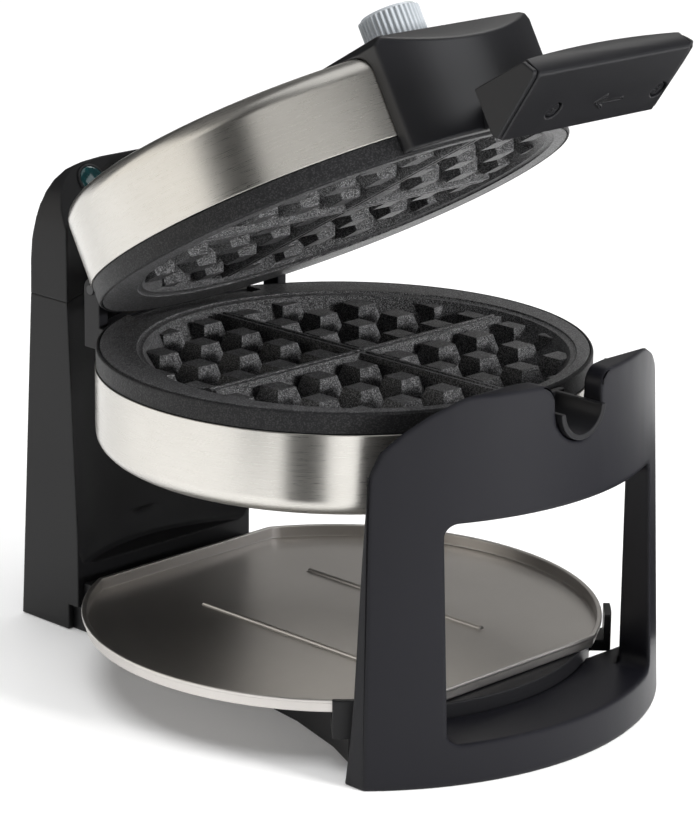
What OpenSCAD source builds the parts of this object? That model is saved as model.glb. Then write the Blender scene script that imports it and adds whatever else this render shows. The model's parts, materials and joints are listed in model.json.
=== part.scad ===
// Rotary Belgian waffle maker with a lift-out drip tray.
// Millimetres. +Z is up, the handle is towards -Y, the flip axis runs along Y.
// The origin is on the supporting surface, straight below the middle of the round cooking halves.

/* [Cooking halves] */
// Height of the flip axis and of the parting plane above the table
axis_h = 146.4; // [140:0.2:165]
// Outer radius of the steel casings
shell_r = 104.5; // [98:0.5:112]
// Depth from the parting plane to the start of the casing's rounded edge
band_d = 36; // [32:1:42]
// Depth from the parting plane to the end of the rounded edge
edge_d = 44.7; // [41:0.1:52]
// Radial width of the rounded edge
edge_w = 11; // [8:0.5:14]
// How far the crown of the casing rises past its edge
crown_h = 3.6; // [2:0.2:6]
// Sheet thickness of the casings
shell_t = 1; // [0.6:0.1:1.4]
// Height of the black rim band
rim_h = 9; // [8:0.5:12]
// Wall of the rim band
rim_t = 1.4; // [1.2:0.1:1.6]
// Gap between the two closed cooking plates
plate_gap = 0.6; // [0.4:0.1:1.2]

/* [Waffle grid] */
// Width of the plate's flat land round the batter well
well_land = 10.9; // [8.4:0.5:16.4]
// Offset of the batter well towards the handle
well_dy = 7; // [4:0.5:8]
// Offset of the peg grid towards the handle
grid_dy = 9; // [7:0.5:10]
// Depth of the batter well
well_d = 13; // [10:0.5:15]
// Width of the well's sloped wall
well_slope = 11; // [7:0.5:13]
// Distance from peg to peg
peg_pitch = 23.5; // [21:0.5:26]
// Width of a peg at its foot
peg_foot = 15.5; // [13:0.5:18]
// Width of a peg at its top
peg_top = 10; // [7:0.5:12]
// Distance of the peg tops below the plate's face
peg_drop = 3.2; // [2.4:0.1:5]
// Width of a dividing wall at its foot
wall_foot = 9; // [6:0.5:10]
// Width of a dividing wall at its top
wall_top = 5; // [4:0.2:6]
// Distance of the wall tops below the plate's face
wall_drop = 1.9; // [1.2:0.1:2.3]
// Thickness of the plate casting
plate_t = 3; // [2.4:0.2:4]

/* [Lid hinge] */
// How far the lid stands open
lid_open = 30; // [0:1:32]
// How far the hinge line lies inside the casings' outer radius
hinge_in = 7.5; // [5.5:0.5:9.5]
// Height of the hinge line above the parting plane
hinge_dz = 14; // [12:0.5:16]
// Radius of the hinge pin
hinge_pin_r = 2.2; // [1.8:0.1:2.6]
// Inner face of the hinge ears
ear_x = 50.5; // [50:0.5:54]
// Thickness of a hinge ear
ear_t = 5; // [4:0.5:6]

/* [Lid housing and handle] */
// Width of the handle housing
housing_w = 90; // [80:1:96]
// How far the housing's curved front stands outside the casings
housing_out = 5.5; // [3.5:0.5:6.5]
// Height of the housing's top above the parting plane
housing_h = 48.5; // [48:0.5:54]
// How far behind the ring's centre line the housing ends, towards the handle
housing_y = 46; // [40:1:52]
// Radius of the neck and of the boss that lie in the cradle
neck_r = 13.2; // [12:0.1:13.6]
// Distance from the flip axis's origin to the back of the grip
grip_y = 138.5; // [138:0.5:144]
// Depth of the grip, front to back
grip_d = 32.4; // [28:0.2:38]
// Where the grip starts, left of the flip axis
grip_x0 = 43; // [38:1:48]
// Where the grip's tip is, right of the flip axis
grip_x1 = 52; // [46:1:60]
// Radius of the dial
dial_r = 13; // [11:0.5:15]
// Height of the dial
dial_h = 16.5; // [12:0.5:18]
// Distance of the dial from the ring centre
dial_y = 70; // [66:1:76]
// Number of ribs on the dial
dial_ribs = 36; // [24:2:48]

/* [Tower] */
// Half the width of the tower
tower_x = 52; // [50:0.5:56]
// Radius of the tower's hollow front at its foot
tower_front_r = 93.6; // [92:0.2:100]
// How much that radius grows up to the seam
tower_front_lean = 4.7; // [0:0.1:6]
// Distance of the hollow front's axis behind the origin
tower_front_c = 33.6; // [32:0.2:36]
// Front of the tower's foot
tower_foot_y = 112; // [111:0.5:116]
// Front face of the boss that holds the flip bearing
bearing_y = 123.6; // [122.5:0.1:125]
// Where the back of the tower meets the base
tower_back_y = 150; // [148:0.5:158]
// How much the back leans forward up to the seam
tower_lean = 9; // [6:0.5:10]
// Height of the seam between tower and cap above the flip axis
seam_rise = 3.6; // [1.6:1:13.6]
// Height of the cap's top
cap_z = 207; // [205:0.5:222]
// Where the tilted lamp faces begin
lamp_face_z = 182; // [180:0.5:190]
// How far the lamp faces lean back for each millimetre they rise
lamp_face_lean = 0.6; // [0.4:0.05:0.7]
// Wall of the plastic housings
wall = 2.6; // [2:0.1:3]

/* [Flip bearing] */
// Radius of the hollow trunnion
trunnion_r = 10; // [9:0.5:10.5]
// Radius of the bore through the trunnion
trunnion_bore = 6.5; // [5:0.5:7]
// Running clearance of the bearings
run_gap = 0.08; // [0.03:0.01:0.1]
// Wall of the bearing bush
bush_t = 2.5; // [2:0.1:3]

/* [Front support] */
// Radius of the support's front at the table
support_r = 131.7; // [130:0.1:136]
// Radius of the support's front at its top
support_top_r = 125.4; // [124.5:0.1:128]
// Radius of the support's hollow back
support_in_r = 116.2; // [115.5:0.1:118]
// How far the support's centre is ahead of the origin
support_dy = 4.8; // [4:0.1:6]
// Half the width of the support at the table
support_x = 89.3; // [86:0.5:94]
// Half the width of the support at its shoulders
support_top_x = 85.4; // [82:0.2:88]
// How far the support's top stands above the flip axis
support_up = 11.6; // [7.6:0.5:29.6]
// Radius of the support's top corners
support_corner = 30; // [26:1:34]
// Where the support's side edges end
support_back_y = 93; // [91:0.5:96]
// Half the width of the window
window_x = 61.5; // [54:0.5:66]
// Height of the sill
sill_z = 17; // [15:0.5:22]
// Height of the window's top
window_z = 107.5; // [96:0.5:112]
// Clearance round the neck in the cradle
cradle_gap = 0.5; // [0.4:0.1:1]

/* [Drip tray] */
// Outer radius of the tray's rim
tray_r = 111.2; // [106:0.2:114]
// Distance from the middle to each straight side
tray_flat = 98.6; // [96:0.2:100]
// Height of the tray's rim above the table
tray_z = 29.4; // [28:0.2:31]
// Depth of the tray
tray_d = 6; // [5:0.2:7]
// Sheet thickness of the tray
tray_t = 0.9; // [0.6:0.1:1.2]
// Distance of the tray's raised ribs from its middle
tray_rib_x = 32; // [26:1:40]
// Length of a raised rib
tray_rib_l = 104; // [80:2:120]

/* [Base] */
// Half the width of the base behind its waist
base_x = 49; // [45:0.5:49]
// Height of the platform at the tower's foot
platform_z = 31; // [29:0.5:33]
// Radius of a rubber foot
foot_r = 7; // [6:0.5:9]

/* [Hidden] */
$fn = 96;
seat = 0.2;
rim_r = shell_r - 0.5;
rim_in_r = rim_r - rim_t;
plate_r = rim_in_r - seat;
face_z = plate_gap/2;
flange_t = plate_t;
crown_z = edge_d + crown_h;
well_r = plate_r - well_land;
hinge_y = shell_r - hinge_in;
housing_r = shell_r + housing_out;
seam_z = axis_h + seam_rise;
support_z = axis_h + support_up;
well_floor_r = well_r - well_slope;
hinge_z = axis_h + hinge_dz;
lean_slope = tower_lean/seam_z;
bush_r = trunnion_r + run_gap;
cradle_r = neck_r + cradle_gap;
yoke_in_r = shell_r + 0.4;
yoke_r = shell_r + 5.5;
yoke_half_x = ear_x + ear_t;
yoke_low = band_d - 2;
bush_len = 4.2;
ring_y0 = bearing_y + bush_len + 0.3;
ring_len = 2.4;
washer_len = 1.4;
clip_len = 1.6;
trunnion_end = ring_y0 + ring_len + washer_len + clip_len + 1.1;
tray_floor_z = tray_z - tray_d;

steel = [0.72, 0.70, 0.67];
black = [0.13, 0.13, 0.14];
soft_black = [0.20, 0.20, 0.21];
coating = [0.10, 0.10, 0.11];
bright = [0.80, 0.80, 0.82];

// Placing
// A part drawn on the closed lid, turned to where the open lid holds it.
module on_lid() {
    translate([0, hinge_y, hinge_z]) rotate([-lid_open, 0, 0]) translate([0, -hinge_y, -hinge_z])
        translate([0, 0, axis_h]) children();
}
// A part drawn below the parting plane, in place on the lower half.
module on_lower() {
    translate([0, 0, axis_h]) mirror([0, 0, 1]) children();
}
module along_y(y0, y1, r) {
    translate([0, y1, 0]) rotate([90, 0, 0]) cylinder(h = y1 - y0, r = r);
}
module along_x(x0, x1, r) {
    translate([x0, 0, 0]) rotate([0, 90, 0]) cylinder(h = x1 - x0, r = r);
}
module both_sides() {
    children();
    mirror([1, 0, 0]) children();
}
module round_rect(w, h, r) {
    square([w - 2*r, h], center = true);
    square([w, h - 2*r], center = true);
    for (sx = [-1, 1], sy = [-1, 1]) translate([sx*(w/2 - r), sy*(h/2 - r)]) circle(r, $fn = 32);
}

// Casings: drawn with the parting plane at z = 0 and the crown at +z
module casing_section(inset) {
    r = shell_r - inset;
    d = edge_d - inset;
    c = crown_z - inset;
    w = edge_w;
    polygon(concat([[0, rim_h + 0.25 - inset*2], [r, rim_h + 0.25 - inset*2], [r, band_d]],
        [for (a = [15 : 15 : 75]) [r - w*(1 - cos(a)), band_d + (d - band_d)*sin(a)]],
        [[r - w, d], [r - w - 20, d + crown_h*0.55], [r*0.35, c], [0, c]]));
}
module casing() {
    difference() {
        rotate_extrude($fn = 180) casing_section(0);
        rotate_extrude($fn = 180) casing_section(shell_t);
    }
}
module rim_band() {
    ledge = face_z + flange_t + 0.1;
    difference() {
        rotate_extrude($fn = 180) polygon([[rim_in_r, face_z + 0.5], [rim_in_r + 0.4, face_z],
            [rim_r - 0.7, face_z], [rim_r, face_z + 0.7], [rim_r, rim_h], [shell_r - shell_t - 0.25, rim_h],
            [shell_r - shell_t - 0.25, rim_h + 5], [shell_r - shell_t - 1.6, rim_h + 5],
            [shell_r - shell_t - 1.6, ledge + 1.6], [rim_in_r - 1.8, ledge + 1.6], [rim_in_r - 1.8, ledge],
            [rim_in_r, ledge]]);
        children();
    }
}
// One comb of pegs and walls; two of them crossed leave the whole grid standing.
function comb_steps() = [for (k = [-4 : 3]) (k + 0.5)*peg_pitch];
module peg_comb() {
    for (s = comb_steps())
        polygon([[s - peg_foot/2, well_d + 1], [s - peg_foot/2, well_d], [s - peg_top/2, peg_drop],
            [s + peg_top/2, peg_drop], [s + peg_foot/2, well_d], [s + peg_foot/2, well_d + 1]]);
}
module divider_section() {
    groove = wall_top/5;
    polygon([[-wall_foot/2, well_d + 1], [-wall_foot/2, well_d], [-wall_top/2, wall_drop],
        [-groove, wall_drop],
        [0, wall_drop + 1.7], [groove, wall_drop], [wall_top/2, wall_drop], [wall_foot/2, well_d],
        [wall_foot/2, well_d + 1]]);
}
module extruded_x(len) {
    translate([-len/2, 0, 0]) rotate([90, 0, 90]) linear_extrude(len) children();
}
module extruded_y(len) {
    translate([0, len/2, 0]) rotate([90, 0, 0]) linear_extrude(len) children();
}
module plate_grid() {
    span = 2*(well_floor_r + 4);
    intersection() {
        translate([0, well_dy - grid_dy, 0]) union() {
            intersection() {
                extruded_x(span) peg_comb();
                extruded_y(span) peg_comb();
            }
            extruded_x(span) divider_section();
            extruded_y(span) divider_section();
        }
        cylinder(h = well_d + 1, r1 = well_r - 1.5, r2 = well_floor_r - 0.5);
    }
}
module well_section(inset) {
    polygon([[0, -1], [well_r + 0.4 + inset, -1], [well_r + inset, face_z + 0.6],
        [well_r - 1.6 + inset, face_z + 1.2], [well_r - 2.4 + inset, face_z + 1.2],
        [well_floor_r + inset*0.75, well_d + inset], [0, well_d + inset]]);
}
module cooking_plate() {
    dy = -well_dy;
    difference() {
        union() {
            difference() {
                translate([0, 0, face_z]) cylinder(h = flange_t, r = plate_r, $fn = 180);
                translate([0, dy, 0]) rotate_extrude($fn = 144) well_section(0);
            }
            intersection() {
                translate([0, dy, 0]) difference() {
                    rotate_extrude($fn = 144) well_section(plate_t);
                    rotate_extrude($fn = 144) well_section(0);
                }
                translate([0, 0, face_z]) cylinder(h = well_d + plate_t, r = plate_r, $fn = 180);
            }
            translate([0, dy, 0]) plate_grid();
            for (a = [45 : 90 : 315]) rotate(a) translate([plate_stud_r, 0, well_d + 1])
                cylinder(h = 6.9 + plate_t - 3, r = 3.4);
        }
        for (a = [45 : 90 : 315]) rotate(a) translate([plate_stud_r, 0, well_d + plate_t])
            cylinder(h = 6, r = 1.5);
        children();
    }
}
plate_stud_r = 66;
element_r = 50;
tube_r = 2.3;
module element() {
    translate([0, -well_dy, well_d + plate_t + tube_r + 0.05]) {
        rotate_extrude(angle = 320, start = 110) translate([element_r, 0]) circle(tube_r, $fn = 32);
        for (a = [110, 70]) rotate(a) translate([element_r, 0, 0])
            cylinder(h = 11, r = tube_r*0.7, $fn = 32);
    }
}
reflector_z = well_d + plate_t + 5;
module reflector() {
    difference() {
        union() {
            translate([0, 0, reflector_z]) cylinder(h = 1, r = 84);
            difference() {
                translate([0, 0, reflector_z]) cylinder(h = 7, r = 85);
                translate([0, 0, reflector_z - 1]) cylinder(h = 9, r = 84);
            }
        }
        translate([0, -well_dy, 0]) for (a = [110, 70])
            rotate(a) translate([element_r, 0, reflector_z - 1]) cylinder(h = 3, r = 4);
        for (a = [45 : 90 : 315]) rotate(a) translate([plate_stud_r, 0, reflector_z - 1])
            cylinder(h = 3, r = 1.8);
    }
}
module plate_screw_set() {
    for (a = [45 : 90 : 315]) rotate(a) translate([plate_stud_r, 0, 0]) {
        translate([0, 0, well_d + plate_t + 2.5])
            cylinder(h = reflector_z - well_d - plate_t - 1.5 + seat, r = 1.35);
        translate([0, 0, reflector_z + 1 + 0.05]) cylinder(h = 2, r = 3);
    }
}

// Lower half
// Shallow pocket at the back of the lower half, where the open lid's back edge dips in.
module lid_relief() {
    translate([-36, 88, -1]) cube([72, 30, 3.6]);
}
module lower_shell() {
    color(steel) on_lower() difference() {
        casing();
        for (sx = [-1, 1]) translate([sx*26, 0, band_d - 14]) along_y(95, 110, 2.1);
        translate([0, 0, 0]) along_y(95, 112, trunnion_bore + 1);
        translate([0, 0, 9]) along_y(-110, -98, 2);
    }
}
module lower_rim() {
    color(soft_black) on_lower() rim_band() lid_relief();
}
module lower_plate() {
    color(coating) on_lower() cooking_plate() lid_relief();
}
module lower_element() {
    color(bright) on_lower() element();
}
module lower_reflector() {
    color(bright) on_lower() reflector();
}
module thermal_fuse() {
    color("white") on_lower() translate([24, 30, reflector_z + 1 + seat]) {
        translate([-14, -5, 0]) cube([28, 10, 1.2]);
        translate([-9, 0, 1.2 + 3.4]) rotate([0, 90, 0]) cylinder(h = 18, r = 3.4);
    }
}
module front_boss() {
    y0 = -(support_top_r + support_dy + 2.6);
    color(soft_black) translate([0, 0, axis_h]) difference() {
        intersection() {
            union() {
                along_y(y0, -shell_r - 0.2, neck_r);
                along_y(-shell_r - 3, -shell_r - 0.2, neck_r + 4);
            }
            translate([-30, -150, -30]) cube([60, 164.5 - shell_r, 30 - face_z - 0.4]);
        }
        translate([0, 0, 0]) along_y(y0 - 1, -shell_r - 3.4, neck_r - 2.4);
        cylinder(h = 80, r = shell_r + 0.2, center = true, $fn = 180);
    }
}
module lower_plate_screws() {
    color("silver") on_lower() plate_screw_set();
}

// Hinge yoke: carries the lower half, the lid hinge and the trunnion
module yoke_plan(r0, r1) {
    intersection() {
        difference() {
            circle(r1, $fn = 180);
            circle(r0, $fn = 180);
        }
        translate([-yoke_half_x, 40]) square([2*yoke_half_x, 80]);
    }
}
ear_nose = 4.8;
module hinge_yoke() {
    color(black) difference() {
        union() {
            translate([0, 0, axis_h - yoke_low]) linear_extrude(yoke_low - 2.2) yoke_plan(yoke_in_r, yoke_r);
            both_sides() intersection() {
                translate([0, 0, 0]) union() {
                    translate([0, hinge_y, hinge_z]) along_x(ear_x, ear_x + ear_t, ear_nose);
                    translate([ear_x, hinge_y - ear_nose, axis_h - 12]) cube([ear_t, 9.6, hinge_dz + 12]);
                }
                difference() {
                    translate([ear_x, 0, 0]) cube([ear_t, 120, 300]);
                    translate([0, 0, axis_h - 60]) cylinder(h = 60 + 1, r = yoke_in_r, $fn = 180);
                }
            }
            difference() {
                translate([0, 0, axis_h]) along_y(yoke_in_r - 4, yoke_r + 2.5, trunnion_r + 3);
                translate([-20, yoke_in_r - 5, axis_h - 2]) cube([40, 6.6, 40]);
            }
        }
        translate([0, 0, axis_h - 60]) cylinder(h = 120, r = yoke_in_r, $fn = 180);
        translate([0, 0, axis_h]) along_y(yoke_in_r - 14.9, yoke_r + 20, trunnion_r + 0.05);
        translate([0, hinge_y, hinge_z]) along_x(-60, 60, hinge_pin_r + 0.02);
        for (sx = [-1, 1]) translate([sx*26, 0, axis_h - band_d + 14])
            along_y(yoke_in_r - 9.9, yoke_r + 10, 1.7);
    }
}
module yoke_screws() {
    color("silver") for (sx = [-1, 1]) translate([sx*26, 0, axis_h - band_d + 14]) {
        y_head = sqrt(pow(yoke_r, 2) - pow(26 - 3.2, 2)) + 0.1;
        along_y(y_head - 9, y_head + 0.1, 1.6);
        along_y(y_head, y_head + 2, 3.2);
    }
}
module hinge_pin() {
    color("silver") translate([0, hinge_y, hinge_z]) along_x(-yoke_half_x - 1, yoke_half_x + 1, hinge_pin_r);
}
module trunnion() {
    color(bright) translate([0, 0, axis_h]) difference() {
        union() {
            along_y(yoke_in_r + 1, trunnion_end, trunnion_r);
            along_y(yoke_in_r + 0.5, yoke_in_r + 1.2, trunnion_r);
        }
        along_y(yoke_in_r - 4.9, trunnion_end + 1, trunnion_bore);
        // groove for the spring clip
        difference() {
            along_y(trunnion_end - 1 - clip_len, trunnion_end - 1, trunnion_r + 1);
            along_y(trunnion_end - 3 - clip_len, trunnion_end, trunnion_r - 1.2);
        }
        // notch that takes the stop ring with it at the end of its own quarter turn
        rotate([0, 0, 0]) translate([-2, ring_y0 - 0.2, trunnion_r - 1.6]) cube([4, ring_len + 0.3, 4]);
    }
}
module trunnion_washer() {
    y0 = ring_y0 + ring_len + 0.2;
    color("silver") translate([0, 0, axis_h]) difference() {
        along_y(y0, y0 + washer_len - 0.3, trunnion_r + 4);
        along_y(y0 - 1, y0 + washer_len + 1, trunnion_r + run_gap);
    }
}
module trunnion_clip() {
    y1 = trunnion_end - 1;
    color("silver") translate([0, 0, axis_h]) difference() {
        along_y(y1 - clip_len + 0.1, y1 - 0.1, trunnion_r + 2.2);
        along_y(y1 - clip_len - 1, y1 + 1, trunnion_r - 1.15);
        translate([-5, y1 - 5, -trunnion_r - 5]) cube([10, 10, trunnion_r]);
    }
}
module stop_ring() {
    color([0.75, 0.68, 0.5]) translate([0, 0, axis_h]) difference() {
        union() {
            along_y(ring_y0, ring_y0 + ring_len, trunnion_r + 3.4);
            translate([-2.5, ring_y0, trunnion_r + 2]) cube([5, ring_len, 6]);
        }
        along_y(ring_y0 - 1, ring_y0 + ring_len + 1, trunnion_r + run_gap);
    }
}

// Lid
module upper_shell() {
    color(steel) on_lid() difference() {
        casing();
        translate([0, hinge_y, hinge_dz]) along_x(-60, 60, hinge_pin_r + 1.5);
        translate([0, -dial_y, crown_z - 8]) cylinder(h = 16, r = 6);
        for (sx = [-1, 1]) translate([sx*32, -62, crown_z - 8]) cylinder(h = 16, r = 1.8);
    }
}
module upper_rim() {
    color(soft_black) on_lid() rim_band() translate([0, hinge_y, hinge_dz])
        along_x(-60, 60, hinge_pin_r + 1.5);
}
module upper_plate() {
    color(coating) on_lid() cooking_plate() union() {};
}
module upper_element() {
    color(bright) on_lid() element();
}
module upper_reflector() {
    color(bright) on_lid() difference() {
        reflector();
        translate([0, -dial_y + 2, 0]) cylinder(h = 60, r = 9);
    }
}
module thermostat() {
    color("white") on_lid() translate([0, -dial_y, reflector_z + 1 + seat]) {
        difference() {
            union() {
                translate([-16, -9, 0]) cube([32, 18, 9]);
                translate([0, 0, 9]) cylinder(h = 3, r = 5);
            }
            translate([0, 0, 2]) cylinder(h = 14, r = 3 + run_gap);
        }
    }
}
module hinge_block() {
    color("silver") on_lid() difference() {
        union() {
            translate([0, hinge_y, hinge_dz]) along_x(-33, 33, 5.2);
            translate([-33, hinge_y - 9, face_z + flange_t + seat])
                cube([66, 11, hinge_dz - face_z - flange_t - seat]);
        }
        translate([0, hinge_y, hinge_dz]) along_x(-40, 40, hinge_pin_r + run_gap);
        difference() {
            cylinder(h = 80, r = 200);
            cylinder(h = 80, r = rim_in_r - 2, $fn = 180);
        }
    }
}
module upper_plate_screws() {
    color("silver") on_lid() plate_screw_set();
}
// Wedge-fronted housing that wraps the front of the lid and carries neck and dial.
module housing_body() {
    chamfer = 10;
    hw = housing_w/2;
    intersection() {
        translate([0, 0, 1]) cylinder(h = housing_h - 1, r = housing_r, $fn = 180);
        translate([-hw, -housing_r - 1, 0]) cube([housing_w, housing_r + 1 - housing_y, housing_h + 1]);
        extruded_x(housing_w + 2) polygon([[-housing_r - 1, 0.8], [-housing_r - 1, housing_h - chamfer],
            [-housing_r + 9.5, housing_h - 0.6], [-housing_r + 12, housing_h], [-housing_y - 14, housing_h],
            [-housing_y, crown_z - 4], [-housing_y, 0.8]]);
        extruded_y(300) polygon([[-hw, 0], [-hw, housing_h - 4], [-hw + 5, housing_h], [hw - 5, housing_h],
            [hw, housing_h - 4], [hw, 0]]);
    }
}
module handle_housing() {
    color(black) on_lid() difference() {
        housing_body();
        rotate_extrude($fn = 180) casing_section(-0.25);
        translate([0, 0, -1]) cylinder(h = rim_h + 3, r = shell_r + 0.25, $fn = 180);
        translate([0, -dial_y, 30]) cylinder(h = 30, r = 3.6);
        translate([-200, -200, -10]) cube([400, 400, 10.8]);
    }
}
module handle_neck() {
    color(black) on_lid() intersection() {
        difference() {
            union() {
                along_y(-grip_y + 0.1, -housing_r + 0.2, neck_r);
                translate([-9, -grip_y - 4, 0]) cube([18, 6, 12]);
            }
            cylinder(h = 60, r = housing_r + 0.3, $fn = 180);
            translate([-6.2, -grip_y - 6, 1.8]) cube([12.4, 16.4, 6.4]);
        }
        translate([-40, -160, face_z + 0.4]) cube([80, 80, 40]);
    }
}
// Grip: a six-sided bar across the flip axis, deep at the back and drawn out to a nose at the front.
grip_low = 11.4;
grip_rise = 13;
under_slope = 13.4/27;
module grip_section(inset) {
    y0 = -grip_y;
    y1 = -grip_y - grip_d;
    under = y1 + 2.4;
    polygon([[y0 - inset, -grip_low + 5], [y0 - inset, grip_rise + 2], [y1 + 5.6 + inset, grip_rise + 0.6],
        [y1 + inset, 4.8 + inset], [y1 + 1.6 + inset, 2.7 + inset], [y0 - 2 - inset, -grip_low + inset*1.6],
        [y0 - 0.4 - inset, -grip_low + 1.6 + inset]]);
}
module grip_outline(inset) {
    // seen from the front: slightly arched top, rounded corners
    x0 = -grip_x0 + inset;
    x1 = grip_x1 - inset;
    r = 5.5;
    top = [for (t = [0 : 0.1 : 1]) let (x = x0 + t*(x1 - r - x0))
        [x, grip_rise - 2.1*pow((x - 2)/45, 2) - inset]];
    zc = top[10][1] - r;
    polygon(concat([[x0 + 1.2, -20], [x0, -grip_low + 3]], top,
        [for (a = [70 : -20 : -10]) [x1 - r + r*cos(a), zc + r*sin(a)]], [[x1, 0], [x1 - 2.4, -20]]));
}
module grip_solid(inset) {
    intersection() {
        extruded_x(300) grip_section(inset);
        extruded_y(400) grip_outline(inset);
    }
}
cap_t = 3;
module grip_screw_at(x) {
    translate([x, -grip_y - 12, -grip_low + (12 - 2)*under_slope])
        rotate([180 - atan(under_slope), 0, 0]) children();
}
module handle_grip() {
    color(soft_black) on_lid() difference() {
        grip_solid(0);
        translate([-grip_x0 - 1, -200, -30]) cube([1 + cap_t, 100, 60]);
        translate([grip_x1 - cap_t, -200, -30]) cube([cap_t + 1, 100, 60]);
        translate([-9.2, -grip_y - 4.2, 0.5]) cube([18.4, 5, 11.7]);
        translate([core_x0 - 0.2, -grip_y - 16.2, 1.8]) cube([core_x1 - core_x0 + 0.4, 12.4, 6.4]);
        for (x = grip_screw_x) grip_screw_at(x) {
            translate([0, 0, -2.6]) cylinder(h = 10, r = 3.9);
            translate([0, 0, -12]) cylinder(h = 12, r = 1.7);
        }
    }
    // arrow that shows which way the handle is turned
    color(soft_black) on_lid() grip_screw_at(13.5) translate([0, 0, -0.5]) linear_extrude(0.9) {
        translate([-7, -0.5]) square([16, 1]);
        translate([-7, 0]) rotate(33) translate([0, -0.5]) square([6, 1]);
        translate([-7, 0]) rotate(-33) translate([0, -0.5]) square([6, 1]);
    }
}
module grip_end_caps() {
    color(black) on_lid() intersection() {
        grip_solid(0.5);
        union() {
            translate([-grip_x0 - 1, -200, -30]) cube([1 + cap_t - 0.1, 100, 60]);
            translate([grip_x1 - cap_t + 0.1, -200, -30]) cube([cap_t + 1, 100, 60]);
        }
    }
}
core_x0 = -24;
core_x1 = 47;
grip_screw_x = [-17.5, 44.5];
module grip_core() {
    color("silver") on_lid() difference() {
        union() {
            translate([core_x0, -grip_y - 16, 2]) cube([core_x1 - core_x0, 12, 6]);
            translate([-6, -grip_y - 5, 2]) cube([12, 15, 6]);
        }
        for (x = grip_screw_x) grip_screw_at(x) translate([0, 0, -18]) cylinder(h = 20, r = 1.5);
    }
}
module grip_screws() {
    color("silver") on_lid() for (x = grip_screw_x) grip_screw_at(x) {
        difference() {
            translate([0, 0, -2.55]) cylinder(h = 1.9, r = 3.2);
            for (a = [0, 90]) rotate(a) translate([-2, -0.35, -1.4]) cube([4, 0.7, 2]);
        }
        translate([0, 0, -11.5]) cylinder(h = 9, r = 1.4);
    }
}

// Dial
dial_z0 = housing_h + 0.5;
module dial_knob() {
    color([0.78, 0.79, 0.8]) on_lid() translate([0, -dial_y, dial_z0]) difference() {
        union() {
            cylinder(h = 2.2, r = dial_r + 0.9);
            translate([0, 0, 2.2]) linear_extrude(dial_h - 3.4) polygon([for (i = [0 : dial_ribs*4 - 1])
                let (a = i*90/dial_ribs, r = dial_r + ((i%4) < 2 ? 0 : -0.8)) [r*cos(a), r*sin(a)]]);
            translate([0, 0, dial_h - 1.2]) cylinder(h = 1.2, r1 = dial_r - 0.8, r2 = dial_r - 1.8);
        }
        translate([0, 0, -1]) cylinder(h = dial_h - 3, r = 3);
        translate([0, 0, -1]) difference() {
            cylinder(h = dial_h - 3, r = dial_r - 3);
            cylinder(h = dial_h, r = 5);
        }
        translate([-0.7, 3, dial_h - 0.6]) cube([1.4, dial_r - 4.5, 2]);
    }
}
module dial_spindle() {
    color("silver") on_lid() translate([0, -dial_y, 0])
        translate([0, 0, reflector_z + 1 + seat + 4])
            cylinder(h = dial_z0 + dial_h - 5 - reflector_z - 5 - seat, r = 3);
}

// Tower
function top_up(z) = seam_z + (z/57)*(cap_z - seam_z);
tower_top_profile = [[0, 0], [15, 0.3], [24, 1.2], [33, 3.4], [42, 5.2], [49, 5.8], [55, 6.6], [57, 7.9]];
module tower_side(inset) {
    y1 = tower_back_y - tower_lean;
    low = inset > 0 ? -2 : 0.4;
    face_y = tower_foot_y + 5.5;
    reach = inset > 0 ? 49 : 57;
    extruded_x(2*(tower_x - inset)) polygon(concat([[tower_foot_y + inset, low],
        [tower_back_y - inset, low]],
        [for (p = tower_top_profile) if (p[0] <= reach) [y1 - p[1] - inset, top_up(p[0])]],
        [[face_y + lamp_face_lean*(top_up(reach) - lamp_face_z) + inset*1.17, top_up(reach)],
            [face_y + inset*1.17, lamp_face_z], [tower_foot_y + inset, 60]]));
}
module tower_corners(inset) {
    // front outline with its arched top
    w = tower_x - inset;
    arch = [[0, 28], [0.4, 34], [1.8, 40], [4.6, 45.3], [9, 50], [15, 53.7], [24, 56], [34, 57]];
    extruded_y(400) polygon(concat([for (p = arch) [w - p[0], top_up(p[1]) - inset]],
        [for (i = [7 : -1 : 0]) [arch[i][0] - w, top_up(arch[i][1]) - inset]], [[-w, 0], [w, 0]]));
}
module tower_hollow(inset) {
    // the curved front
    r0 = tower_front_r + inset;
    r1 = tower_front_r + tower_front_lean + inset;
    translate([0, tower_front_c, 0]) rotate_extrude($fn = 144) polygon([[0, platform_z - inset],
        [r0 - 3, platform_z - inset], [r0 - 1.2, platform_z + 1.4 - inset], [r0, platform_z + 5 - inset],
        [r1, seam_z], [r1, cap_z + 20], [0, cap_z + 20]]);
}
module tower_block(inset) {
    difference() {
        intersection() {
            tower_side(inset);
            tower_corners(inset);
        }
        tower_hollow(inset);
    }
}
boss_r = trunnion_r + 11;
stop_in = trunnion_r + 3.4 + 0.6;
module bearing_boss() {
    translate([0, 0, axis_h]) intersection() {
        along_y(bearing_y, tower_front_c + tower_front_r + 8, boss_r);
        translate([-40, 90, -40]) cube([80, 50, 80]);
    }
}
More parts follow.
